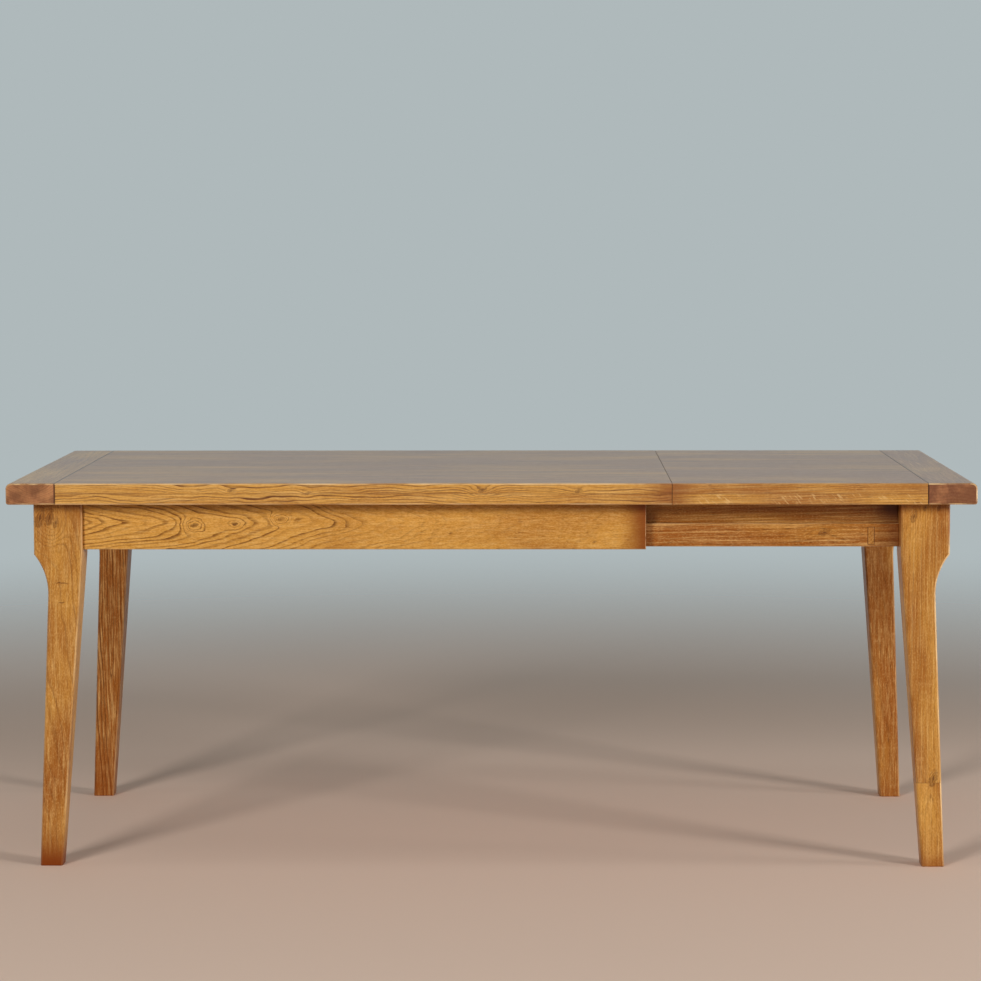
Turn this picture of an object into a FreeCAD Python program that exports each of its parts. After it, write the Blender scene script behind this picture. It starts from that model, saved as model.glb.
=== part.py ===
import FreeCAD, Part

import math
import os

from FreeCAD import Vector

# Extending oak dining table. The right legs, end board and runners pull out together, and a loose leaf
# drops into the opening. Millimetres. The origin is on the floor under the middle of the open table,
# +X points to the pull-out end, the front edge is at -Y and +Z is up.

# Whole table
closed_length = 1400.0
leaf_opening = 500.0
top_width = 900.0
table_height = 766.0

# Top boards, end boards and leaf
top_thickness = 42.0
board_count = 6
end_board_width = 96.0
end_round_upper = 11.0
end_round_lower = 5.0
top_arris = 3.5
end_arris = 4.0
end_board_gap = 0.6
leaf_clearance = 1.0
tongue_length = 15.0
tongue_thickness = 14.0
tongue_end_inset = 60.0

# Legs: a square block, a cove on the outer side, then a taper on both inner sides
leg_width = 96.0
leg_depth = 75.0
leg_end_inset = 48.0
leg_side_inset = 41.0
leg_block_height = 102.0
cove_depth = 27.0
cove_height = 82.0
back_taper_drop = 30.0
foot_width = 44.0
foot_depth = 44.0
foot_outer_inset = 5.0
leg_arris = 3.0

# Aprons and their tenons
apron_thickness = 25.0
apron_height = 93.0
apron_setback = 11.0
apron_arris = 2.0
apron_end_gap = 0.5
tenon_length = 40.0
tenon_thickness = 12.0
tenon_shoulder = 15.0

# Runners: an upper rebate leaves a ledge, on which the fixed frame rides
runner_gap = 2.0
runner_rise = 3.0
runner_overlap = 560.0
rebate_height = 44.0
rebate_depth = 14.0
runner_arris = 1.5
runner_tenon_shoulder = 5.0

# Cross rails between the runners, with tenons right through them
cross_rail_thickness = 24.0
cross_rail_setback = 55.0
cross_rail_clearance = 6.0
through_tenon_thickness = 11.5
through_tenon_height = 33.0
through_tenon_foot = 5.0

# Guide cleats on the aprons, keepers on the runners, and stop blocks
cleat_height = 22.0
cleat_setback = 10.0
cleat_side_gap = 1.0
keeper_length = 80.0
stop_length = 50.0
stop_gap = 0.3

# Battens under the main top and under the leaf
batten_width = 45.0
batten_height = 28.0
batten_end_gap = 4.0
batten_chamfer = 6.0
top_batten_inset = 150.0
leaf_batten_inset = 100.0
leaf_batten_gap = 1.5

# Corner blocks between legs and end aprons
corner_block_size = 50.0
corner_block_height = 70.0
corner_block_drop = 8.0

# Dowels that hold the aprons to the top
dowel_radius = 5.0
dowel_length = 60.0
dowel_hold = 25.0
apron_dowel_shares = (0.2, 0.5, 0.8)
end_apron_dowel_shares = (0.2, 0.8)

# Hexagon-headed screws that hold the battens
screw_head_width = 8.0
screw_head_height = 3.0
screw_head_sides = 6
screw_shank_radius = 2.5
screw_length = 48.0
batten_screw_shares = (0.16, 0.84)

# Clearances
joint_clearance = 0.2
slide_clearance = 0.3
overrun = 5.0
pick_tolerance = 0.01

# Lines of the top
half_length = (closed_length + leaf_opening) / 2
half_width = top_width / 2
under_z = table_height - top_thickness
middle_z = table_height - top_thickness / 2
left_seam_x = end_board_width - half_length
right_seam_x = half_length - end_board_width
main_seam_x = right_seam_x - leaf_opening
board_width = top_width / board_count
tongue_half_width = half_width - tongue_end_inset

# Lines of the frame, for the right legs and the front side
leg_outer_x = half_length - leg_end_inset
leg_inner_x = leg_outer_x - leg_width
leg_front_y = leg_side_inset - half_width
leg_back_y = leg_front_y + leg_depth
block_z = under_z - leg_block_height
moving_z = under_z - slide_clearance
apron_y = (leg_front_y + apron_setback, leg_front_y + apron_setback + apron_thickness)
apron_z = (under_z - apron_height, under_z)
apron_x = (-leg_inner_x, leg_inner_x - leaf_opening - apron_end_gap)
end_apron_x = (leg_outer_x - apron_setback - apron_thickness, leg_outer_x - apron_setback)
end_apron_y = (leg_back_y, -leg_back_y)
runner_y = (apron_y[1] + runner_gap, leg_back_y)
runner_z = (apron_z[0] + runner_rise, moving_z)
runner_x = (apron_x[1] - runner_overlap, leg_inner_x)
ledge_z = under_z - rebate_height
rebate_y = runner_y[0] + rebate_depth
batten_z = (under_z - batten_height, under_z)
cross_rail_z = (runner_z[0], batten_z[0] - cross_rail_clearance)
cleat_x = (apron_x[0], apron_x[1] - cleat_setback)
cleat_y = (apron_y[1], rebate_y - cleat_side_gap)
cleat_z = (ledge_z + slide_clearance, ledge_z + slide_clearance + cleat_height)
keeper_x = (runner_x[0], runner_x[0] + keeper_length)
keeper_y = (apron_y[1] + cleat_side_gap, rebate_y)
keeper_z = (cleat_z[1] + slide_clearance, moving_z)
stop_x = (keeper_x[1] + stop_gap, keeper_x[1] + stop_gap + stop_length)
stop_z = (cleat_z[1], under_z)
block_top_z = under_z - corner_block_drop
top_batten_xs = (
    left_seam_x + top_batten_inset,
    (left_seam_x + main_seam_x) / 2,
    main_seam_x - top_batten_inset,
)
leaf_batten_xs = (main_seam_x + leaf_batten_inset, right_seam_x - leaf_batten_inset)

UP = Vector(0, 0, 1)


def box(x, y, z):
    """Block between a low and a high limit on each axis."""
    sizes = [high - low for low, high in (x, y, z)]
    return Part.makeBox(*sizes, Vector(x[0], y[0], z[0]))


def grown(limits, amount):
    """The same limits, moved apart by an amount on every side."""
    return [(low - amount, high + amount) for low, high in limits]


def inset(limit, amount):
    """One pair of limits, drawn in by an amount at both ends."""
    return (limit[0] + amount, limit[1] - amount)


def centred(middle, size):
    """Limits of a size about a middle."""
    return (middle - size / 2, middle + size / 2)


def along(limit, share):
    """Point at a share of the way between two limits."""
    return limit[0] + (limit[1] - limit[0]) * share


def prism(points, run):
    """Solid swept along a run from a closed outline of points."""
    return Part.Face(Part.makePolygon([*points, points[0]])).extrude(run)


def to_back(shape):
    """Mirror a front piece to the back of the table."""
    return shape.mirror(Vector(), Vector(0, 1, 0))


def to_left(shape):
    """Mirror a right-hand piece to the left end of the table."""
    return shape.mirror(Vector(), Vector(1, 0, 0))


def at(value, target):
    """True where two coordinates are the same."""
    return abs(value - target) < pick_tolerance


def picked(shape, test):
    """Edges of a shape whose middle point passes a test."""
    middles = [(edge, edge.valueAt((edge.FirstParameter + edge.LastParameter) / 2)) for edge in shape.Edges]
    return [edge for edge, point in middles if test(point)]


def rounded(shape, radius, test):
    """Shape with a rounded arris on the edges that a test picks."""
    return shape.makeFillet(radius, picked(shape, test))


def dowel(x, y, grow=0.0):
    """Upright dowel from an apron into the top, or with grow the hole for it."""
    foot = Vector(x, y, under_z + dowel_hold - dowel_length - grow)
    return Part.makeCylinder(dowel_radius + grow, dowel_length + 2 * grow, foot)


def screw_shank(x, y, grow=0.0):
    """Shank of a screw up through a batten, or with grow the hole for it."""
    foot = Vector(x, y, batten_z[0] - grow)
    return Part.makeCylinder(screw_shank_radius + grow, screw_length + 2 * grow, foot)


def screw(x, y):
    """Screw with a hexagon head under a batten."""
    reach = screw_head_width / 2 / math.cos(math.pi / screw_head_sides)
    turns = [2 * math.pi * side / screw_head_sides for side in range(screw_head_sides)]
    corners = [Vector(x + reach * math.cos(a), y + reach * math.sin(a), batten_z[0]) for a in turns]
    return prism(corners, UP * -screw_head_height).fuse(screw_shank(x, y))


def apron_dowel_places():
    """Places of the dowels in the front apron."""
    y = sum(apron_y) / 2
    return [(along(apron_x, share), y) for share in apron_dowel_shares]


def end_dowel_places():
    """Places of the dowels in the right end apron."""
    x = sum(end_apron_x) / 2
    return [(x, along(end_apron_y, share)) for share in end_apron_dowel_shares]


def batten_screw_places(xs):
    """Places of the screws in a row of battens."""
    return [(x, along(end_apron_y, share)) for x in xs for share in batten_screw_shares]


def drilled(shape, maker, places):
    """Shape with a hole at each place for what a maker puts there."""
    return shape.cut([maker(x, y, joint_clearance) for x, y in places])


def set_of(maker, places):
    """Group of separate like solids, one at each place."""
    return Part.makeCompound([maker(x, y) for x, y in places])


def apron_tenon():
    """Limits of the front apron's tenon in the left leg."""
    x = (apron_x[0] - tenon_length, apron_x[0])
    return [x, centred(sum(apron_y) / 2, tenon_thickness), inset(apron_z, tenon_shoulder)]


def end_apron_tenon():
    """Limits of the right end apron's tenon in the front leg."""
    y = (leg_back_y - tenon_length, leg_back_y)
    return [centred(sum(end_apron_x) / 2, tenon_thickness), y, inset(apron_z, tenon_shoulder)]


def runner_tenon():
    """Limits of the front runner's tenon in the right leg."""
    x = (leg_inner_x, leg_inner_x + tenon_length)
    y = inset((rebate_y, runner_y[1]), runner_tenon_shoulder)
    return [x, y, inset(runner_z, tenon_shoulder)]


def through_tenon(x):
    """Limits of a cross rail's tenon, out to the front runner's outer face."""
    foot = runner_z[0] + through_tenon_foot
    return [centred(x, through_tenon_thickness), runner_y, (foot, foot + through_tenon_height)]


def cross_rail_xs():
    """Middles of the outer and the inner cross rail."""
    return (runner_x[1] - cross_rail_setback, runner_x[0] + cross_rail_setback)


def top_board(index, x, has_tongue):
    """One board along the table, with an eased outer edge, and a tongue for the left end board."""
    y = (index * board_width - half_width, (index + 1) * board_width - half_width)
    board = box(x, y, (under_z, table_height))
    if index in (0, board_count - 1):
        board = rounded(board, top_arris, lambda point: at(abs(point.y), half_width)
                        and not at(point.z, middle_z))
    if has_tongue:
        tongue_y = (max(y[0], -tongue_half_width), min(y[1], tongue_half_width))
        tongue_x = (left_seam_x - tongue_length, x[0])
        board = board.fuse(box(tongue_x, tongue_y, centred(middle_z, tongue_thickness)))
    return board


def main_top_boards():
    """Boards of the main top, drilled for the battens' screws and the aprons' dowels."""
    x = (left_seam_x + end_board_gap, main_seam_x)
    front = apron_dowel_places()
    dowels = front + [(x, -y) for x, y in front]
    boards = [top_board(index, x, True) for index in range(board_count)]
    boards = [drilled(board, dowel, dowels) for board in boards]
    return [drilled(board, screw_shank, batten_screw_places(top_batten_xs)) for board in boards]


def leaf_boards():
    """Boards of the loose leaf, drilled for its battens' screws."""
    x = inset((main_seam_x, right_seam_x), leaf_clearance)
    boards = [top_board(index, x, False) for index in range(board_count)]
    return [drilled(board, screw_shank, batten_screw_places(leaf_batten_xs)) for board in boards]


def end_board():
    """Right end board: rounded over along the end, eased on its two sawn faces."""
    board = box((right_seam_x, half_length), (-half_width, half_width), (under_z, table_height))
    board = rounded(board, end_round_upper, lambda point: at(point.x, half_length)
                    and at(point.z, table_height))
    board = rounded(board, end_round_lower, lambda point: at(point.x, half_length)
                    and at(point.z, under_z))
    board = rounded(board, end_arris, lambda point: at(abs(point.y), half_width)
                    and not at(point.x, right_seam_x))
    return drilled(board, dowel, end_dowel_places())


def left_end_board():
    """Left end board, with a stopped groove for the tongues of the boards."""
    groove = [
        (left_seam_x - tongue_length, left_seam_x),
        (-tongue_half_width, tongue_half_width),
        centred(middle_z, tongue_thickness),
    ]
    return to_left(end_board()).cut(box(*grown(groove, joint_clearance)))


def leg_outline(top_z):
    """Right leg seen from the front, with its cove as an arc that runs on into the outer line."""
    block = Vector(leg_outer_x, 0, block_z)
    knee = Vector(leg_outer_x - cove_depth, 0, block_z - cove_height)
    foot = Vector(leg_outer_x - foot_outer_inset, 0, 0)
    line = (foot - knee).normalize()
    outward = Vector(-line.z, 0, line.x)
    chord = block - knee
    centre = knee + outward * (chord.dot(chord) / (2 * chord.dot(outward)))
    middle = ((block - centre) + (knee - centre)).normalize()
    bend = centre + middle * (knee - centre).Length
    corners = [
        knee,
        foot,
        foot - Vector(foot_width, 0, 0),
        Vector(leg_inner_x, 0, block_z),
        Vector(leg_inner_x, 0, top_z),
        Vector(leg_outer_x, 0, top_z),
        block,
    ]
    edges = [Part.Arc(block, bend, knee).toShape()]
    edges += [Part.makeLine(start, end) for start, end in zip(corners, corners[1:])]
    return Part.Face(Part.Wire(edges))


def leg(top_z):
    """Front right leg, with no mortises yet."""
    shape = leg_outline(top_z).extrude(Vector(0, leg_depth, 0))
    shape.translate(Vector(0, leg_front_y, 0))
    taper_z = block_z - back_taper_drop
    foot_y = leg_front_y + foot_depth
    behind_y = leg_back_y + overrun
    outline = [
        (leg_back_y, taper_z),
        (foot_y, 0),
        (foot_y, -overrun),
        (behind_y, -overrun),
        (behind_y, taper_z),
    ]
    start_x = leg_inner_x - overrun
    wedge = prism([Vector(start_x, y, z) for y, z in outline], Vector(leg_width + 2 * overrun, 0, 0))
    shape = shape.cut(wedge)
    standing = [edge for edge in shape.Edges if not at(edge.Vertexes[0].Z, edge.Vertexes[-1].Z)]
    return shape.makeChamfer(leg_arris, standing)


def left_leg():
    """Front left leg, mortised for the front apron and the left end apron."""
    shape = leg(under_z).cut(box(*grown(end_apron_tenon(), joint_clearance)))
    return to_left(shape).cut(box(*grown(apron_tenon(), joint_clearance)))


def right_leg():
    """Front right leg, mortised for the runner and the right end apron."""
    mortises = [box(*grown(tenon, joint_clearance)) for tenon in (end_apron_tenon(), runner_tenon())]
    return leg(moving_z).cut(mortises)


def front_apron():
    """Front apron: tenoned into the left leg, free and eased at the other end."""
    apron = box(apron_x, apron_y, apron_z)
    apron = rounded(apron, apron_arris, lambda point: at(point.y, apron_y[0])
                    and (at(point.z, apron_z[0]) or at(point.x, apron_x[1])))
    return drilled(apron.fuse(box(*apron_tenon())), dowel, apron_dowel_places())


def end_apron():
    """Right end apron, tenoned into both right legs."""
    apron = box(end_apron_x, end_apron_y, apron_z)
    apron = rounded(apron, apron_arris, lambda point: at(point.x, end_apron_x[1])
                    and at(point.z, apron_z[0]))
    tenon = box(*end_apron_tenon())
    return drilled(apron.fuse([tenon, to_back(tenon)]), dowel, end_dowel_places())


def front_runner():
    """Front runner: rebated above its ledge, tenoned into the right leg, mortised for the cross rails."""
    outline = [
        (runner_y[0], runner_z[0]),
        (runner_y[1], runner_z[0]),
        (runner_y[1], runner_z[1]),
        (rebate_y, runner_z[1]),
        (rebate_y, ledge_z),
        (runner_y[0], ledge_z),
    ]
    run = Vector(runner_x[1] - runner_x[0], 0, 0)
    runner = prism([Vector(runner_x[0], y, z) for y, z in outline], run)
    runner = rounded(runner, runner_arris, lambda point: at(point.y, runner_y[0])
                     and (at(point.z, ledge_z) or at(point.z, runner_z[0])))
    mortises = [box(*grown(through_tenon(x), joint_clearance)) for x in cross_rail_xs()]
    return runner.fuse(box(*runner_tenon())).cut(mortises)


def cross_rail(x):
    """Rail between the runners, with a tenon right through each of them."""
    rail = box(centred(x, cross_rail_thickness), end_apron_y, cross_rail_z)
    tenon = box(*through_tenon(x))
    return rail.fuse([tenon, to_back(tenon)])


def batten(x, end_gap):
    """Cross batten between the runners, chamfered at its lower ends."""
    y = inset(end_apron_y, end_gap)
    shape = box(centred(x, batten_width), y, batten_z)
    ends = picked(shape, lambda point: at(point.z, batten_z[0]) and at(abs(point.y), y[1]))
    return drilled(shape.makeChamfer(batten_chamfer, ends), screw_shank, batten_screw_places([x]))


def corner_block():
    """Front right corner block: a three-sided prism glued between the leg and the end apron."""
    corner = Vector(end_apron_x[0], leg_back_y, block_top_z)
    points = [corner, corner - Vector(corner_block_size, 0, 0), corner + Vector(0, corner_block_size, 0)]
    return prism(points, UP * -corner_block_height)


def fixed_dowels():
    """Dowels of the long aprons and of the left end apron."""
    front = set_of(dowel, apron_dowel_places())
    return Part.makeCompound([front, to_back(front), to_left(set_of(dowel, end_dowel_places()))])


def fixed_pieces():
    """Pieces of the fixed frame and of its top."""
    cleat = box(cleat_x, cleat_y, cleat_z)
    stop = box(stop_x, cleat_y, stop_z)
    block = to_left(corner_block())
    pieces = {f"main_top_board_{index + 1}": board for index, board in enumerate(main_top_boards())}
    pieces["left_end_board"] = left_end_board()
    pieces["front_left_leg"] = left_leg()
    pieces["back_left_leg"] = to_back(left_leg())
    pieces["front_apron"] = front_apron()
    pieces["back_apron"] = to_back(front_apron())
    pieces["left_end_apron"] = to_left(end_apron())
    pieces["front_guide_cleat"] = cleat
    pieces["back_guide_cleat"] = to_back(cleat)
    pieces["front_stop_block"] = stop
    pieces["back_stop_block"] = to_back(stop)
    for side, x in zip(("left", "middle", "right"), top_batten_xs):
        pieces[f"top_batten_{side}"] = batten(x, batten_end_gap)
    pieces["front_left_corner_block"] = block
    pieces["back_left_corner_block"] = to_back(block)
    pieces["apron_dowels"] = fixed_dowels()
    pieces["top_batten_screws"] = set_of(screw, batten_screw_places(top_batten_xs))
    return pieces


def pull_out_pieces():
    """Pieces that slide together as the pull-out end."""
    outer_x, inner_x = cross_rail_xs()
    keeper = box(keeper_x, keeper_y, keeper_z)
    return {
        "front_right_leg": right_leg(),
        "back_right_leg": to_back(right_leg()),
        "right_end_board": end_board(),
        "right_end_apron": end_apron(),
        "front_runner": front_runner(),
        "back_runner": to_back(front_runner()),
        "outer_cross_rail": cross_rail(outer_x),
        "inner_cross_rail": cross_rail(inner_x),
        "front_keeper": keeper,
        "back_keeper": to_back(keeper),
        "front_right_corner_block": corner_block(),
        "back_right_corner_block": to_back(corner_block()),
        "end_board_dowels": set_of(dowel, end_dowel_places()),
    }


def leaf_pieces():
    """Pieces of the loose leaf."""
    pieces = {f"leaf_board_{index + 1}": board for index, board in enumerate(leaf_boards())}
    for side, x in zip(("left", "right"), leaf_batten_xs):
        pieces[f"leaf_batten_{side}"] = batten(x, leaf_batten_gap)
    pieces["leaf_batten_screws"] = set_of(screw, batten_screw_places(leaf_batten_xs))
    return pieces


os.makedirs("parts", exist_ok=True)
for node, shape in {**fixed_pieces(), **pull_out_pieces(), **leaf_pieces()}.items():
    shape.exportStep(f"parts/{node}.step")
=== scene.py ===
import math
import random

import bpy
from mathutils import Matrix, Vector


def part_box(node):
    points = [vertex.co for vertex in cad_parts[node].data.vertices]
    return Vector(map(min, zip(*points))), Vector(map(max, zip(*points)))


# An extending oak dining table, open with its leaf in. Metres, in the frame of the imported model: +X points to
# the pull-out end, the front edge is at -Y, +Z is up and the floor is at zero.
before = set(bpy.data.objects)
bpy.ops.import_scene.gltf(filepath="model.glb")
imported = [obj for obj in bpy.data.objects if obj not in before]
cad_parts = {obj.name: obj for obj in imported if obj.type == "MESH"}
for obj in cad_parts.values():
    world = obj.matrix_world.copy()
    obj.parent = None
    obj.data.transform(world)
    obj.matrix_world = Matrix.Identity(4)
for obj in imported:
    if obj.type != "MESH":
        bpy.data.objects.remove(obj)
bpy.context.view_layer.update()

# Camera: its place and turn, the focal length in pixels of the square picture, and the sensor in millimetres
PICTURE_PIXELS = 981
FOCAL_PIXELS = 3196.2
CAMERA_PLACE = Vector((0.0876, -6.6692, 1.2783))
CAMERA_PITCH = 0.0844
CAMERA_YAW = 0.0141
CAMERA_ROLL = -0.0015
SENSOR_WIDTH = 36.0

# Stage: the floor, which fades out between two distances, and the background, whose light on the table is
# strongest from low behind it
FLOOR_RADIUS = 14.0
FLOOR_POINTS = 96
FLOOR_FADE_START = 1.5
FLOOR_FADE_END = 6.0
FLOOR_COLOUR = (230, 202, 182)
FLOOR_ROUGHNESS = 0.9
WORLD_COLOUR = (175, 185, 187)
FRONT_FILL = 0.14
BACK_FILL = 1.0
BEHIND_RANGE = (-0.2, 0.8)
LOW_RANGE = (0.8, 0.3)

# Lamps: place, the point they face, width, height and power in watts. The large ones aren't mirrored.
LARGE_LAMPS = ("left_lamp", "right_lamp")
LAMPS = {
    "left_lamp": ((-3.9, -7.4, 3.15), (0.0, 0.0, 0.6), 2.0, 2.0, 415.0),
    "right_lamp": ((6.6, -4.95, 2.85), (0.0, 0.0, 0.6), 1.7, 1.7, 325.0),
    "left_strip": ((-4.2, -0.8, 0.9), (0.0, -0.8, 0.7), 0.8, 1.6, 8.0),
    "right_strip": ((4.2, -0.8, 0.9), (0.0, -0.8, 0.7), 0.8, 1.6, 40.0),
    "upper_strip": ((0.0, -0.9, 3.4), (0.0, -0.3, 0.7), 2.4, 0.9, 8.0),
}

# Oak colours, as they show under plain light
OAK_GOLD = (205, 148, 65)
OAK_PALE = (236, 191, 121)
OAK_RED = (146, 82, 25)
OAK_RING = (98, 50, 12)
OAK_PORE = (84, 44, 14)
OAK_FLECK = (234, 194, 132)
OAK_KNOT = (84, 42, 18)
OAK_END = (110, 63, 42)
OAK_END_PALE = (180, 121, 80)
# Darkened ends, the finish's own and also painted shade
OAK_BURNISH_AND_SHADE = (120, 52, 8)
# Pale wear on arrises, also used as painted highlight
OAK_WEAR_AND_HIGHLIGHT = (232, 194, 140)
STEEL = (150, 150, 146)
STEEL_PALE = (206, 204, 196)

# Oak figure: the bend of its arches; and of a lower layer, how far its grain is moved and half the width of
# its edge, in metres, and how dark its line is
ARCH_POWER = 1.4
ARCH_SCALE = 0.122
LAYER_SHIFT = (3.7, 0.07, 0.03)
LAYER_EDGE = 0.0001
LAYER_LINE = 0.35

# Noise in the oak: cells per metre along the grain and two ways across it, and detail
NOISE_MIDDLE = 0.5
OAK_NOISE = {
    "sway": ((1.5, 7.0, 7.0), 2.0),
    "ripple": ((8.0, 24.0, 24.0), 2.0),
    "feather": ((20.0, 420.0, 420.0), 2.0),
    "streak": ((5.0, 260.0, 260.0), 3.0),
    "fibre": ((14.0, 620.0, 620.0), 3.0),
    "pores": ((55.0, 520.0, 520.0), 2.0),
    "ray_patch": ((14.0, 40.0, 40.0), 2.0),
    "speckle": ((230.0, 520.0, 520.0), 2.0),
    "shimmer": ((70.0, 24.0, 24.0), 2.0),
    "cloud": ((3.2, 13.0, 13.0), 3.0),
    "blotch": ((30.0, 34.0, 34.0), 4.0),
    "scuffs": ((9.0, 35.0, 35.0), 4.0),
}

# Where each feature of the oak starts and is full, on its noise or on the phase of a ring
OAK_RANGES = {
    "early_end": (0.46, 0.02),
    "early_start": (0.93, 1.0),
    "vigour": (0.32, 0.66),
    "feather": (0.3, 0.62),
    "pores": (0.55, 0.7),
    "ray_patch": (0.42, 0.62),
    "rays": (0.56, 0.68),
    "gold": (0.28, 0.72),
    "pale_streak": (0.45, 0.75),
    "red_streak": (0.5, 0.25),
    "pale_fibre": (0.5, 0.75),
    "pale_shimmer": (0.52, 0.75),
    "red_shimmer": (0.48, 0.25),
    "pale_speckle": (0.5, 0.7),
    "red_speckle": (0.5, 0.3),
    "blotch": (0.35, 0.68),
    "scuffs": (0.38, 0.62),
}

# How much of its colour each feature brings
OAK_SHARES = {
    "pale_streak": 0.5,
    "red_streak": 0.4,
    "pale_fibre": 0.35,
    "pale_shimmer": 0.1,
    "red_shimmer": 0.1,
    "pale_speckle": 0.4,
    "red_speckle": 0.55,
    "ring": 0.85,
    "rays": 0.6,
    "end_ring": 0.7,
}

# The least of rings, feathering and scuffs, and how dark pores are: what early wood adds, and elsewhere
LEAST_VIGOUR = 0.25
LEAST_FEATHER = 0.4
LEAST_SCUFF = 0.1
EARLY_PORES = 0.5
OTHER_PORES = 0.35

# Rings differ in width and strength: cells per ring, cells per metre along the grain, the amount, and the
# slice of noise for the strength
RING_CELLS = 0.45
RING_RUN = 0.6
RING_UNEVENNESS = 1.6
VIGOUR_CELLS = 0.83
VIGOUR_RUN = 1.3
VIGOUR_SLICE = 5.0

# Ray flecks: cells per metre along the grain, how they lean, and cells two ways across it
RAY_ALONG = 240.0
RAY_LEAN = 210.0
RAY_ACROSS = 60.0
RAY_DEEP = 90.0
RAY_DETAIL = 1.0

# Gloss and relief of the oak
ROUGHNESS = 0.42
ROUGHNESS_CLOUD = 0.12
ROUGHNESS_PORES = 0.15
RELIEF_FIBRE = 0.4
RELIEF_STREAK = 0.8
RELIEF_RING = 0.35
BUMP_DISTANCE = 0.0002
BUMP_STRENGTH = 0.5
SPECULAR_LEVEL = 0.1
BEVEL_RADIUS = 0.004
BEVEL_SAMPLES = 4

# Knots, with lengths as shares of the knot's size: its squeeze along the grain, how far it is stirred, how its
# pull dies away, its ragged edge, and its dark rim and heart
KNOT_SQUEEZE = 0.6
KNOT_STIR_CELLS = 0.35
KNOT_STIR = 1.8
KNOT_DECAY = -0.12
KNOT_EDGE_CELLS = (2.0, 1.0)
KNOT_RAGGEDNESS = 1.6
KNOT_RIM_PLACE = 0.75
KNOT_RIM_RANGE = (0.45, 0.05)
KNOT_RIM_SHARE = 0.5
KNOT_HEART_RANGE = (0.6, 0.1)
KNOT_HEART_SHARE = 0.8

# Seams, cracks, soft spots of painted shadow, arrises with pale wear and painted highlight, the faces that
# count as upright or as end grain, and the figure that is left where it fades
SEAM_WIDTH = 0.0018
SEAM_CORE = 0.3
SEAM_SHARE = 0.85
JOINT_WIDTH = 0.0028
CRACK_WANDER = 0.009
CRACK_CELLS = (90.0, 100.0)
CRACK_CORE = 0.3
CRACK_SHARE = 0.7
PAINTED_SHADOW_RANGE = (1.0, 0.2)
ARRIS_TURN = (-0.3, 0.3)
ARRIS_RANGE = (0.15, 0.42)
UPRIGHT_RANGE = (0.9, 0.5)
END_RANGE = (0.6, 0.9)
PLAIN_FIGURE = 0.2

# Places that pieces share: the seams of the end boards, and the glue line near half the thickness of the top
GLUE_LINE_DEPTH = 0.0205
LEFT_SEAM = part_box("left_end_board")[1].x
RIGHT_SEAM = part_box("right_end_board")[0].x
GLUE_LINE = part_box("main_top_board_1")[1].z - GLUE_LINE_DEPTH

# Traits that are drawn for each piece: the seed, how far its pith is aside and below, and its slopes, tone and
# shift
VARIATION_SEED = 11
PITH_ASIDE = 0.06
PITH_BELOW = (0.03, 0.09)
SLOPE_ASIDE = 0.02
SLOPE_BELOW = 0.03
DRAWN_TONES = (-0.2, 0.04)
DRAWN_SHIFT = 40.0

# Turning marks on the steel: cells per metre, detail, and their range and share in its roughness
STEEL_CELLS = (900.0, 900.0, 300.0)
STEEL_DETAIL = 3.0
STEEL_RANGE = (0.2, 0.9)
STEEL_ROUGHNESS = 0.25
STEEL_ROUGHENING = 0.3


def linear(colour):
    """Linear colour with full alpha from an sRGB one given in 0 to 255."""
    shares = [value / 255 for value in colour]
    levels = [s / 12.92 if s <= 0.04045 else ((s + 0.055) / 1.055) ** 2.4 for s in shares]
    return (*levels, 1.0)


class Term:
    """A value in a shader tree that can be used in sums and products."""

    def __init__(self, graph, socket):
        self.graph = graph
        self.socket = socket

    def __add__(self, other):
        return self.graph.math("ADD", self, other)

    def __sub__(self, other):
        return self.graph.math("SUBTRACT", self, other)

    def __mul__(self, other):
        return self.graph.math("MULTIPLY", self, other)

    def __truediv__(self, other):
        return self.graph.math("DIVIDE", self, other)

    def __abs__(self):
        return self.graph.math("ABSOLUTE", self)


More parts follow.
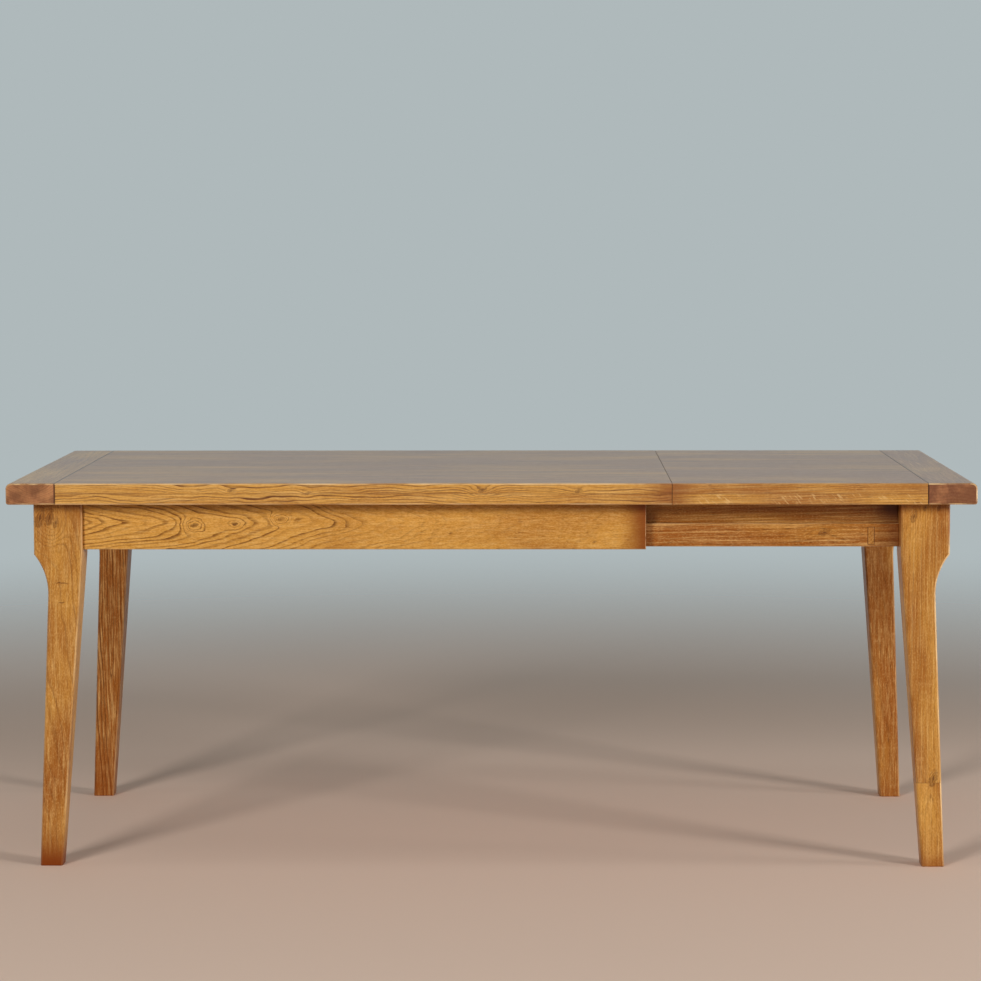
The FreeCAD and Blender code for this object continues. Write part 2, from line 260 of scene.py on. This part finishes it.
class Graph:
    """Adds nodes to a shader tree, and links them as they are added."""

    def __init__(self, tree):
        self.tree = tree

    def plug(self, value, socket):
        """Link a term to a socket, or set a plain value on it."""
        if isinstance(value, Term):
            self.tree.links.new(value.socket, socket)
        else:
            socket.default_value = value

    def add(self, kind, inputs, **settings):
        """New node of a kind, with its settings and inputs by name or number."""
        node = self.tree.nodes.new(kind)
        for name, value in settings.items():
            setattr(node, name, value)
        for key, value in inputs.items():
            self.plug(value, node.inputs[key])
        return node

    def term(self, kind, inputs, output=0, **settings):
        """Output of a new node."""
        return Term(self, self.add(kind, inputs, **settings).outputs[output])

    def math(self, operation, *values):
        """Result of a sum on one or two numbers."""
        return self.term("ShaderNodeMath", dict(enumerate(values)), operation=operation)

    def larger(self, first, second):
        """The larger of two numbers."""
        return self.math("MAXIMUM", first, second)

    def joined(self, x, y, z):
        """Vector from three numbers."""
        return self.term("ShaderNodeCombineXYZ", {0: x, 1: y, 2: z})

    def split(self, vector):
        """Three numbers of a vector."""
        node = self.add("ShaderNodeSeparateXYZ", {0: vector})
        return [Term(self, socket) for socket in node.outputs]

    def scaled(self, vector, factors):
        """Vector times a factor on each axis."""
        return self.term("ShaderNodeVectorMath", {0: vector, 1: factors}, operation="MULTIPLY")

    def offset(self, vector, move):
        """Vector plus another."""
        return self.term("ShaderNodeVectorMath", {0: vector, 1: move}, operation="ADD")

    def length(self, vector):
        """Length of a vector."""
        return self.term("ShaderNodeVectorMath", {0: vector}, "Value", operation="LENGTH")

    def noise(self, point, detail=2.0, output="Fac"):
        """Smooth noise about one half, at a point in cells."""
        inputs = {"Vector": point, "Scale": 1.0, "Detail": detail}
        return self.term("ShaderNodeTexNoise", inputs, output)

    def step(self, value, start, end):
        """Smooth step from zero at the start to one at the end."""
        inputs = {"Value": value, "From Min": start, "From Max": end}
        return self.term("ShaderNodeMapRange", inputs, interpolation_type="SMOOTHSTEP")

    def blend(self, share, first, second):
        """Colour between two, by the second one's share."""
        node = self.add("ShaderNodeMix", {"Factor": share}, data_type="RGBA")
        colours = [socket for socket in node.inputs if socket.type == "RGBA"]
        for colour, socket in zip((first, second), colours):
            self.plug(colour, socket)
        return Term(self, next(socket for socket in node.outputs if socket.type == "RGBA"))


OAK_INPUTS = {
    "Point": "NodeSocketVector",
    "Spacing": "NodeSocketFloat",
    "Bulge": "NodeSocketFloat",
    "Knot": "NodeSocketFloat",
    "Burnish_and_shade": "NodeSocketFloat",
    "End": "NodeSocketFloat",
    "Figure": "NodeSocketFloat",
    "Fleck": "NodeSocketFloat",
    "Tone": "NodeSocketFloat",
    "Worn": "NodeSocketFloat",
    "Sway": "NodeSocketFloat",
    "Wave": "NodeSocketFloat",
    "Grain": "NodeSocketFloat",
    "Speckle": "NodeSocketFloat",
}
OAK_OUTPUTS = {"Color": "NodeSocketColor", "Roughness": "NodeSocketFloat", "Height": "NodeSocketFloat"}


class OakGraph(Graph):
    """Graph of the oak group, with what the group is given and its named noise, ranges and shares."""

    def __init__(self):
        super().__init__(bpy.data.node_groups.new("oak", "ShaderNodeTree"))
        for way, sockets in (("INPUT", OAK_INPUTS), ("OUTPUT", OAK_OUTPUTS)):
            for name, kind in sockets.items():
                self.tree.interface.new_socket(name, in_out=way, socket_type=kind)
        source = self.tree.nodes.new("NodeGroupInput")
        self.given = {name: Term(self, source.outputs[name]) for name in OAK_INPUTS}

    def named_noise(self, name, output="Fac"):
        """Noise at the given point, by its name."""
        cells, detail = OAK_NOISE[name]
        return self.noise(self.scaled(self.given["Point"], cells), detail, output)

    def ramp(self, name, value):
        """Smooth step of a value over a named range."""
        return self.step(value, *OAK_RANGES[name])

    def raised_ramp(self, name, value, least):
        """Smooth step of a value over a named range, from a least value to one."""
        return self.ramp(name, value) * (1 - least) + least

    def layer(self, name, value):
        """Share of a colour layer where a value is in its named range."""
        return self.ramp(name, value) * OAK_SHARES[name]


def swayed_point(graph):
    """Place along the grain and two ways across it from the pith, where the rings sway."""
    along, across, deep = graph.split(graph.given["Point"])
    sway = graph.split(graph.named_noise("sway", "Color"))
    across = across + (sway[0] - NOISE_MIDDLE) * graph.given["Sway"]
    deep = deep + (sway[1] - NOISE_MIDDLE) * graph.given["Sway"]
    return along, across, deep


def early_wood(graph, along, across, deep):
    """How strong the dark early wood of the rings is."""
    arch = graph.math("POWER", abs(across), ARCH_POWER) * ARCH_SCALE
    radius = graph.math("SQRT", arch + deep * deep)
    ripple = (graph.named_noise("ripple") - NOISE_MIDDLE) * graph.given["Wave"]
    ring = (radius + ripple + graph.given["Bulge"]) / graph.given["Spacing"]
    uneven = graph.noise(graph.joined(ring * RING_CELLS, along * RING_RUN, 0.0)) - NOISE_MIDDLE
    ring = ring + uneven * RING_UNEVENNESS
    phase = graph.math("FRACT", ring)
    early = graph.ramp("early_end", phase) + graph.ramp("early_start", phase)
    strength = graph.noise(graph.joined(ring * VIGOUR_CELLS, along * VIGOUR_RUN, VIGOUR_SLICE))
    vigour = graph.raised_ramp("vigour", strength, LEAST_VIGOUR)
    feather = graph.raised_ramp("feather", graph.named_noise("feather"), LEAST_FEATHER)
    return early * vigour * feather


def ray_flecks(graph, along, across, deep):
    """How strong the ray flecks are, which lie in patches."""
    point = graph.joined(along * RAY_ALONG + deep * RAY_LEAN, across * RAY_ACROSS, deep * RAY_DEEP)
    rays = graph.ramp("rays", graph.noise(point, RAY_DETAIL))
    return rays * graph.ramp("ray_patch", graph.named_noise("ray_patch")) * graph.given["Fleck"]


def end_grain(graph, early):
    """Colour of the end grain, with the rings in it."""
    blotch = graph.ramp("blotch", graph.named_noise("blotch") + graph.given["Tone"])
    colour = graph.blend(blotch, linear(OAK_END), linear(OAK_END_PALE))
    return graph.blend(early * OAK_SHARES["end_ring"], colour, linear(OAK_RING))


def make_oak():
    """Solid oak as a shader group. Its point is along the grain, then two ways across it from the pith."""
    graph = OakGraph()
    given = graph.given
    point = swayed_point(graph)
    early = early_wood(graph, *point)
    rays = ray_flecks(graph, *point)
    streak = graph.named_noise("streak")
    fibre = graph.named_noise("fibre")
    speckle = graph.named_noise("speckle")
    shimmer = graph.named_noise("shimmer")
    cloud = graph.named_noise("cloud")
    pores = graph.ramp("pores", graph.named_noise("pores"))
    scuffs = graph.raised_ramp("scuffs", graph.named_noise("scuffs"), LEAST_SCUFF)

    layers = (
        (graph.layer("pale_streak", streak) * given["Grain"], linear(OAK_PALE)),
        (graph.layer("red_streak", streak) * given["Grain"], linear(OAK_RED)),
        (graph.layer("pale_fibre", fibre), linear(OAK_PALE)),
        (graph.layer("pale_shimmer", shimmer), linear(OAK_PALE)),
        (graph.layer("red_shimmer", shimmer), linear(OAK_RED)),
        (graph.layer("pale_speckle", speckle) * given["Speckle"], linear(OAK_PALE)),
        (graph.layer("red_speckle", speckle) * given["Speckle"], linear(OAK_RED)),
        (early * given["Figure"] * OAK_SHARES["ring"], linear(OAK_RING)),
        (pores * (early * EARLY_PORES + OTHER_PORES) * given["Grain"], linear(OAK_PORE)),
        (rays * OAK_SHARES["rays"], linear(OAK_FLECK)),
        # Darkened finish at the ends, and painted shade where a piece is given it
        (given["Burnish_and_shade"], linear(OAK_BURNISH_AND_SHADE)),
        (given["End"], end_grain(graph, early)),
        (given["Knot"], linear(OAK_KNOT)),
        # Pale wear on the arrises, patchy, which also paints their highlights
        (given["Worn"] * scuffs, linear(OAK_WEAR_AND_HIGHLIGHT)),
    )
    colour = graph.blend(graph.ramp("gold", cloud + given["Tone"]), linear(OAK_RED), linear(OAK_GOLD))
    for share, tint in layers:
        colour = graph.blend(share, colour, tint)

    roughness = (cloud - NOISE_MIDDLE) * ROUGHNESS_CLOUD + pores * ROUGHNESS_PORES + ROUGHNESS
    height = fibre * RELIEF_FIBRE + streak * RELIEF_STREAK - pores - early * RELIEF_RING
    sink = graph.tree.nodes.new("NodeGroupOutput")
    for name, term in zip(OAK_OUTPUTS, (colour, roughness, height)):
        graph.plug(term, sink.inputs[name])
    return graph.tree


OAK = make_oak()

# What one piece of oak is like, where its own entry says nothing else:
# - axes: the one along the grain and the two across it
# - pith and slope: its place on the two, where the first is zero, and how that moves with the first
# - spacing: the width of a ring; sway and wave: how far rings wander, in metres
# - grain, speckle, figure, fleck, tone: how strong these are; tone_slope: how the tone changes along the grain
# - burnish_and_shade: how dark the low and the high end are, over its length; a darkened finish, which on the
#   runner and the legs also paints the shade under the top and beside the legs
# - end: how much the ends show end grain
# - worn: pale wear on the arrises that turn left and right, which also paints their highlights
# - face_figure and face_tone: how much figure level faces keep, and how much darker they are; where they don't
#   keep it all, they get none of the darkened ends or painted shade either
# - coat, coat_roughness: the lacquer; rounded: whether its edges catch the light as eased ones
# - knots: place, size and pull; knot_axes: the two axes of that place, where they aren't the first two
# - lines, frames, cracks, painted_shadows: seams at a place on an axis, outlines of tenons, short cracks, and
#   soft dark spots of painted shadow
# - layer and layer_tone: the height below which the grain is another board's, and the tone it adds; flecks are
#   then only below it
# - plain_from: where the figure starts to fade along the grain, and where it has faded
# - shift: how far the whole pattern is moved along the grain
OAK_TRAITS = {
    "axes": "xzy",
    "pith": (0.0, 0.0),
    "slope": (0.0, 0.0),
    "spacing": 0.0036,
    "sway": 0.016,
    "wave": 0.006,
    "grain": 1.0,
    "speckle": 0.4,
    "figure": 0.6,
    "fleck": 0.0,
    "tone": 0.0,
    "tone_slope": 0.0,
    "burnish_and_shade": (0.3, 0.3),
    "burnish_and_shade_length": 0.035,
    "end": 0.8,
    "worn": (0.2, 0.2),
    "face_figure": 1.0,
    "face_tone": 0.0,
    "coat": 0.3,
    "coat_roughness": 0.35,
    "rounded": False,
    "knots": (),
    "knot_axes": None,
    "lines": (),
    "frames": (),
    "cracks": (),
    "painted_shadows": (),
    "layer": None,
    "layer_tone": 0.0,
    "plain_from": None,
    "shift": 0.0,
}


def new_material(name):
    """Empty material with a shader and a graph to feed it."""
    material = bpy.data.materials.new(name)
    material.use_nodes = True
    graph = Graph(material.node_tree)
    shader = next(node for node in material.node_tree.nodes if node.type == "BSDF_PRINCIPLED")
    return material, graph, shader


def axis_number(letter):
    """Number of an axis, by its letter."""
    return "xyz".index(letter)


def knot_fields(graph, along, across, knots):
    """How knots bend the rings, and how they darken the wood."""
    bulge = 0.0
    dark = 0.0
    for place_along, place_across, size, pull in knots:
        near = graph.joined((along - place_along) * KNOT_SQUEEZE, across - place_across, 0.0)
        cells = KNOT_STIR_CELLS / size
        stir = graph.noise(graph.scaled(near, (cells, cells, 0.0)), output="Color")
        stir = graph.offset(stir, (-NOISE_MIDDLE, -NOISE_MIDDLE, -NOISE_MIDDLE))
        flat = graph.offset(near, graph.scaled(stir, (KNOT_STIR * size, KNOT_STIR * size, 0.0)))
        reach = graph.length(flat) / size
        swell = graph.math("EXPONENT", reach * reach * KNOT_DECAY) * pull
        edge_cells = [count / size for count in KNOT_EDGE_CELLS]
        edge = graph.noise(graph.scaled(flat, (*edge_cells, 0.0))) - NOISE_MIDDLE
        ragged = reach + edge * KNOT_RAGGEDNESS
        rim = graph.step(abs(ragged - KNOT_RIM_PLACE), *KNOT_RIM_RANGE) * KNOT_RIM_SHARE
        heart = graph.step(ragged, *KNOT_HEART_RANGE) * KNOT_HEART_SHARE
        bulge = swell + bulge
        dark = graph.larger(graph.larger(rim, heart), dark)
    return bulge, dark


def arris_mask(graph, normal, left, right):
    """Pale wear and painted highlight on the arrises beside the front and back faces, for those that turn left
    and right.
    """
    x, y, z = [abs(part) for part in normal]
    amount = graph.step(normal[0], *ARRIS_TURN) * (right - left) + left
    return graph.step(y * (x + z), *ARRIS_RANGE) * amount


def seam(graph, distance, width=SEAM_WIDTH):
    """Darkness of a fine line, by the distance from it."""
    return graph.step(abs(distance), width, width * SEAM_CORE) * SEAM_SHARE


def with_marks(graph, dark, place, traits):
    """Darkness of a piece, with its seams, outlines of tenons, cracks and soft spots of painted shadow."""
    for axis, spot in traits["lines"]:
        dark = graph.larger(seam(graph, place[axis_number(axis)] - spot, JOINT_WIDTH), dark)
    for x, z, half_width, half_height in traits["frames"]:
        outside = graph.larger(abs(place[0] - x) - half_width, abs(place[2] - z) - half_height)
        dark = graph.larger(seam(graph, outside), dark)
    for x, z, half_length in traits["cracks"]:
        track = graph.joined(place[0] * CRACK_CELLS[0], z * CRACK_CELLS[1], 0.0)
        wander = (graph.noise(track) - NOISE_MIDDLE) * CRACK_WANDER
        faint = graph.step(abs(place[0] - x), half_length, half_length * CRACK_CORE) * CRACK_SHARE
        dark = graph.larger(seam(graph, place[2] - z + wander) * faint, dark)
    for x, z, width, height, strength in traits["painted_shadows"]:
        spread = graph.length(graph.joined((place[0] - x) / width, (place[2] - z) / height, 0.0))
        dark = graph.larger(graph.step(spread, *PAINTED_SHADOW_RANGE) * strength, dark)
    return dark


def finish_oak(graph, shader, inputs, traits):
    """Feed a shader from the oak group, with relief and lacquer."""
    oak = graph.add("ShaderNodeGroup", inputs, node_tree=OAK)
    colour, roughness, height = [Term(graph, oak.outputs[name]) for name in OAK_OUTPUTS]
    relief = {"Height": height, "Distance": BUMP_DISTANCE, "Strength": BUMP_STRENGTH}
    if traits["rounded"]:
        relief["Normal"] = graph.term("ShaderNodeBevel", {"Radius": BEVEL_RADIUS}, samples=BEVEL_SAMPLES)
    bumpy = graph.term("ShaderNodeBump", relief)
    surface = {
        "Base Color": colour,
        "Roughness": roughness,
        "Normal": bumpy,
        "Coat Normal": bumpy,
        "Specular IOR Level": SPECULAR_LEVEL,
        "Coat Weight": traits["coat"],
        "Coat Roughness": traits["coat_roughness"],
    }
    for name, value in surface.items():
        graph.plug(value, shader.inputs[name])


def oak_material(node, traits):
    """Oak for one node, with its own figure and marks."""
    material, graph, shader = new_material("oak_" + node)
    coordinates = graph.add("ShaderNodeTexCoord", {})
    place = graph.split(Term(graph, coordinates.outputs["Object"]))
    normal = graph.split(Term(graph, coordinates.outputs["Normal"]))
    order = [axis_number(letter) for letter in traits["axes"]]
    along, across, deep = [place[axis] for axis in order]
    start, end = [corner[order[0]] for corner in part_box(node)]
    knot_axes = traits["knot_axes"] or traits["axes"][:2]
    bulge, dark = knot_fields(graph, *[place[axis_number(letter)] for letter in knot_axes], traits["knots"])
    dark = with_marks(graph, dark, place, traits)
    figure = traits["figure"]
    if traits["plain_from"]:
        fade_start, fade_end = traits["plain_from"]
        figure = graph.step(along, fade_end, fade_start) * (figure - PLAIN_FIGURE) + PLAIN_FIGURE
    first, last = traits["burnish_and_shade"]
    reach = traits["burnish_and_shade_length"]
    burnish_and_shade = graph.step(along, start + reach, start) * first + graph.step(along, end - reach, end) * last
    tone = (along - (start + end) / 2) * traits["tone_slope"] + traits["tone"]
    if traits["face_figure"] < 1.0:
        upright = graph.step(abs(normal[2]), *UPRIGHT_RANGE)
        figure = (upright * (1.0 - traits["face_figure"]) + traits["face_figure"]) * figure
        burnish_and_shade = burnish_and_shade * upright
        tone = (upright - 1.0) * traits["face_tone"] + tone
    point = (
        along + traits["shift"],
        across - along * traits["slope"][0] - traits["pith"][0],
        deep - along * traits["slope"][1] - traits["pith"][1],
    )
    fleck = traits["fleck"]
    if traits["layer"]:
        lower = graph.step(place[2], traits["layer"] + LAYER_EDGE, traits["layer"] - LAYER_EDGE)
        point = [part + lower * move for part, move in zip(point, LAYER_SHIFT)]
        dark = graph.larger(seam(graph, place[2] - traits["layer"]) * LAYER_LINE, dark)
        fleck = lower * fleck
        tone = lower * traits["layer_tone"] + tone
    inputs = {
        "Point": graph.joined(*point),
        "Spacing": traits["spacing"],
        "Bulge": bulge,
        "Knot": dark,
        "Burnish_and_shade": burnish_and_shade,
        "End": graph.step(abs(normal[order[0]]), *END_RANGE) * traits["end"],
        "Figure": figure,
        "Fleck": fleck,
        "Tone": tone,
        "Worn": arris_mask(graph, normal, *traits["worn"]),
        "Sway": traits["sway"],
        "Wave": traits["wave"],
        "Grain": traits["grain"],
        "Speckle": traits["speckle"],
    }
    finish_oak(graph, shader, inputs, traits)
    return material


def steel_material():
    """Zinc-plated steel with fine turning marks."""
    material, graph, shader = new_material("screw_steel")
    place = Term(graph, graph.add("ShaderNodeTexCoord", {}).outputs["Object"])
    marks = graph.noise(graph.scaled(place, STEEL_CELLS), STEEL_DETAIL)
    shader.inputs["Metallic"].default_value = 1.0
    graph.plug(graph.blend(marks, linear(STEEL), linear(STEEL_PALE)), shader.inputs["Base Color"])
    roughness = graph.step(marks, *STEEL_RANGE) * STEEL_ROUGHENING + STEEL_ROUGHNESS
    graph.plug(roughness, shader.inputs["Roughness"])
    return material


def dress(node, material):
    """Give a CAD node its material."""
    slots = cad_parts[node].data.materials
    slots.clear()
    slots.append(material)


# Traits of the pieces that the photograph shows
PIECES = {
    "front_apron": {
        "pith": (0.685, -0.285),
        "slope": (0.0, 0.1),
        "figure": 1.15,
        "plain_from": (-0.32, -0.05),
        "grain": 0.6,
        "speckle": 0.55,
        "wave": 0.010,
        "tone": 0.15,
        "tone_slope": -0.14,
        "burnish_and_shade": (0.1, 0.9),
        "burnish_and_shade_length": 0.06,
        # The pale arrises are partly wear and partly painted highlight
        "worn": (0.4, 0.4),
        "rounded": True,
        "knots": (
            (-0.587, 0.679, 0.0044, 0.016),
            (-0.415, 0.691, 0.0036, 0.018),
            (-0.505, 0.681, 0.0026, -0.008),
            (-0.080, 0.663, 0.0022, 0.002),
            (0.204, 0.646, 0.0025, 0.002),
        ),
    },
    "main_top_board_1": {
        "pith": (0.756, -0.415),
        "slope": (0.010, -0.012),
        "spacing": 0.0055,
        "sway": 0.045,
        "wave": 0.024,
        "grain": 0.8,
        "figure": 1.3,
        # The pale front arrises are partly wear and partly painted highlight
        "worn": (0.9, 0.9),
        "face_figure": 0.3,
        "face_tone": 0.2,
        "tone": 0.12,
        "layer": GLUE_LINE,
        "burnish_and_shade": (0.0, 0.5),
        "burnish_and_shade_length": 0.06,
        "knots": (
            (-0.508, 0.753, 0.0042, 0.006),
            (-0.357, 0.747, 0.0035, 0.004),
            (-0.017, 0.752, 0.0045, 0.014),
            (0.171, 0.751, 0.0042, 0.006),
        ),
        "knot_axes": "xz",
    },
    "leaf_board_1": {
        "pith": (0.80, -0.36),
        "slope": (0.02, 0.03),
        "spacing": 0.0045,
        "wave": 0.012,
        "grain": 0.7,
        "figure": 0.7,
        "fleck": 0.75,
        "face_figure": 0.4,
        "layer": GLUE_LINE,
        "layer_tone": 0.1,
        "tone": -0.07,
        "burnish_and_shade": (0.6, 0.2),
        "burnish_and_shade_length": 0.06,
        "knots": ((0.428, 0.763, 0.002, 0.002),),
        "knot_axes": "xz",
    },
    "left_end_board": {
        "axes": "yxz",
        "pith": (-0.90, 0.80),
        "slope": (0.0, 0.02),
        "tone": -0.01,
        # The pale rims are partly wear and partly painted highlight
        "worn": (0.6, 0.9),
        "lines": (("x", LEFT_SEAM),),
    },
    "right_end_board": {
        "axes": "yxz",
        "pith": (0.90, 0.62),
        "slope": (0.0, 0.02),
        "spacing": 0.006,
        "tone": -0.12,
        # The pale rims are partly wear and partly painted highlight
        "worn": (0.6, 0.9),
        "lines": (("x", RIGHT_SEAM),),
    },
    "front_left_leg": {
        "axes": "zxy",
        "pith": (-0.93, -0.33),
        "slope": (0.03, 0.05),
        "spacing": 0.0034,
        "grain": 0.6,
        "speckle": 0.6,
        "figure": 0.5,
        "tone": 0.04,
        "tone_slope": 0.06,
        # The foot is darker, and the darkening at the top end is painted shade from the table top
        "burnish_and_shade": (1.0, 0.35),
        "burnish_and_shade_length": 0.09,
        # The pale right arris is a painted highlight
        "worn": (0.1, 0.5),
        "rounded": True,
        "knots": (
            (0.693, -0.889, 0.011, 0.012),
            (0.694, -0.870, 0.009, 0.012),
            (0.684, -0.858, 0.006, 0.006),
        ),
        "cracks": ((-0.847, 0.566, 0.018), (-0.848, 0.526, 0.009)),
    },
    "front_right_leg": {
        "axes": "zxy",
        "pith": (0.94, -0.35),
        "slope": (0.0, 0.01),
        "spacing": 0.0034,
        "grain": 0.6,
        "speckle": 0.5,
        "figure": 0.4,
        "tone": 0.04,
        "tone_slope": -0.15,
        # The darkening at the top end is painted shade from the table top
        "burnish_and_shade": (0.5, 0.35),
        "layer": 0.168,
        "layer_tone": -0.14,
        # The pale right arris is a painted highlight
        "worn": (0.1, 0.9),
        "rounded": True,
        "knots": (
            (0.696, 0.831, 0.007, 0.008),
            (0.714, 0.853, 0.004, 0.003),
            (0.714, 0.880, 0.004, 0.003),
            (0.175, 0.874, 0.009, 0.008),
        ),
    },
    "back_left_leg": {
        "axes": "zxy",
        "pith": (-0.853, 0.3884),
        "slope": (0.0, -0.103),
        "spacing": 0.005,
        "wave": 0.010,
        "figure": 1.5,
        # Its low tone, darker towards the top, paints the shade it stands in under the table
        "tone": -0.44,
        "tone_slope": -0.2,
        "burnish_and_shade": (0.45, 0.3),
        "burnish_and_shade_length": 0.2,
        "worn": (0.1, 0.3),
        "rounded": True,
    },
    "back_right_leg": {
        "axes": "zxy",
        "pith": (0.80, 0.44),
        "slope": (0.008, 0.004),
        "grain": 0.6,
        "speckle": 0.5,
        "figure": 0.35,
        "tone": -0.14,
        "worn": (0.1, 0.3),
        "rounded": True,
    },
    "front_runner": {
        "pith": (0.90, -0.33),
        "slope": (0.02, 0.0),
        "spacing": 0.0030,
        "speckle": 0.6,
        "figure": 0.5,
        "tone": -0.18,
        # Its high end is darkened by painted shade from the top and the right front leg
        "burnish_and_shade": (0.3, 0.75),
        "burnish_and_shade_length": 0.09,
        "worn": (0.5, 0.5),
        "rounded": True,
        "knots": ((0.658, 0.662, 0.007, 0.006),),
        "frames": ((0.751, 0.6555, 0.00575, 0.0165),),
        # Two soft spots of painted shadow, where the right front leg and the top shade the rebate and the band
        # below it
        "painted_shadows": ((0.805, 0.712, 0.062, 0.046, 0.9), (0.806, 0.655, 0.03, 0.05, 0.35)),
    },
    "outer_cross_rail": {"axes": "yzx", "pith": (0.75, 0.72), "end": 0.15},
}

# Traits of the whole top, and of its boards
TOP_FINISH = {"coat": 1.0, "coat_roughness": 0.32}
TOP_BOARDS = {**TOP_FINISH, "spacing": 0.0058, "figure": 0.9, "grain": 0.75, "burnish_and_shade": (0.0, 0.0)}


def grain_axes(node):
    """Axes of a node's grain, from its longest side to its shortest."""
    low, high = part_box(node)
    sides = high - low
    return "".join(sorted("xyz", key=lambda letter: -sides[axis_number(letter)]))


def drawn_traits(node, rng):
    """Seeded traits for a node, so that no two pieces have the same figure."""
    low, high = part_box(node)
    middle = (low + high) / 2
    axes = grain_axes(node)
    aside = rng.uniform(-PITH_ASIDE, PITH_ASIDE)
    below = rng.choice((-1, 1)) * rng.uniform(*PITH_BELOW)
    return {
        "axes": axes,
        "pith": (middle[axis_number(axes[1])] + aside, middle[axis_number(axes[2])] + below),
        "slope": (rng.uniform(-SLOPE_ASIDE, SLOPE_ASIDE), rng.uniform(-SLOPE_BELOW, SLOPE_BELOW)),
        "tone": rng.uniform(*DRAWN_TONES),
        "shift": rng.uniform(-DRAWN_SHIFT, DRAWN_SHIFT),
    }


def group_traits(node):
    """Traits that the boards of the top share."""
    if node.startswith("main_top_board"):
        return {**TOP_BOARDS, "lines": (("x", LEFT_SEAM),)}
    if node.startswith("leaf_board"):
        return TOP_BOARDS
    if node.endswith("end_board"):
        return TOP_FINISH
    return {}


def dress_table():
    """Give every node its own oak, and the screws steel."""
    rng = random.Random(VARIATION_SEED)
    steel = steel_material()
    for node in sorted(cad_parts):
        drawn = drawn_traits(node, rng)
        if node.endswith("screws"):
            dress(node, steel)
        else:
            traits = {**OAK_TRAITS, **drawn, **group_traits(node), **PIECES.get(node, {})}
            dress(node, oak_material(node, traits))


def make_camera():
    """Camera at the photograph's viewing angle."""
    forward = Vector((
        -math.sin(CAMERA_YAW) * math.cos(CAMERA_PITCH),
        math.cos(CAMERA_YAW) * math.cos(CAMERA_PITCH),
        -math.sin(CAMERA_PITCH),
    ))
    level = Vector((math.cos(CAMERA_YAW), math.sin(CAMERA_YAW), 0.0))
    upright = level.cross(forward)
    right = level * math.cos(CAMERA_ROLL) + upright * math.sin(CAMERA_ROLL)
    up = upright * math.cos(CAMERA_ROLL) - level * math.sin(CAMERA_ROLL)
    data = bpy.data.cameras.new("camera")
    data.sensor_width = SENSOR_WIDTH
    data.lens = FOCAL_PIXELS / PICTURE_PIXELS * SENSOR_WIDTH
    camera = bpy.data.objects.new("camera", data)
    turn = Matrix((right, up, -forward)).transposed().to_4x4()
    camera.matrix_world = Matrix.Translation(CAMERA_PLACE) @ turn
    bpy.context.scene.collection.objects.link(camera)
    bpy.context.scene.camera = camera


def make_lamps():
    """Two large soft lamps in front of the table, and weak strips at its sides and above it."""
    for name, (place, target, width, height, power) in LAMPS.items():
        data = bpy.data.lights.new(name, "AREA")
        data.shape = "RECTANGLE"
        data.size = width
        data.size_y = height
        data.energy = power
        lamp = bpy.data.objects.new(name, data)
        lamp.visible_glossy = name not in LARGE_LAMPS
        lamp.location = place
        lamp.rotation_euler = (Vector(target) - Vector(place)).to_track_quat("-Z", "Y").to_euler()
        bpy.context.scene.collection.objects.link(lamp)


def make_floor():
    """Plain pale floor that fades into the background."""
    turns = [2 * math.pi * index / FLOOR_POINTS for index in range(FLOOR_POINTS)]
    rim = [(FLOOR_RADIUS * math.cos(turn), FLOOR_RADIUS * math.sin(turn), 0.0) for turn in turns]
    mesh = bpy.data.meshes.new("floor")
    mesh.from_pydata(rim, [], [list(range(FLOOR_POINTS))])
    floor = bpy.data.objects.new("floor", mesh)
    bpy.context.scene.collection.objects.link(floor)
    material, graph, shader = new_material("floor")
    shader.inputs["Base Color"].default_value = linear(FLOOR_COLOUR)
    shader.inputs["Roughness"].default_value = FLOOR_ROUGHNESS
    place = Term(graph, graph.add("ShaderNodeTexCoord", {}).outputs["Object"])
    fade = graph.step(graph.length(place), FLOOR_FADE_END, FLOOR_FADE_START)
    graph.plug(fade, shader.inputs["Alpha"])
    mesh.materials.append(material)


def make_world():
    """Even pale background, also where it is mirrored. It lights the table most from low behind it."""
    world = bpy.data.worlds.new("studio")
    world.use_nodes = True
    graph = Graph(world.node_tree)
    background = next(node for node in world.node_tree.nodes if node.type == "BACKGROUND")
    background.inputs["Color"].default_value = linear(WORLD_COLOUR)
    path = graph.add("ShaderNodeLightPath", {})
    seen = Term(graph, path.outputs["Is Camera Ray"])
    for kind in ("Is Glossy Ray", "Is Transmission Ray"):
        seen = graph.larger(seen, Term(graph, path.outputs[kind]))
    heading = graph.split(Term(graph, graph.add("ShaderNodeTexCoord", {}).outputs["Generated"]))
    low_behind = graph.step(heading[1], *BEHIND_RANGE) * graph.step(heading[2], *LOW_RANGE)
    fill = low_behind * (BACK_FILL - FRONT_FILL) + FRONT_FILL
    graph.plug(graph.larger(seen, fill), background.inputs["Strength"])
    bpy.context.scene.world = world


dress_table()
make_camera()
make_lamps()
make_floor()
make_world()
bpy.context.scene.view_settings.view_transform = "Standard"
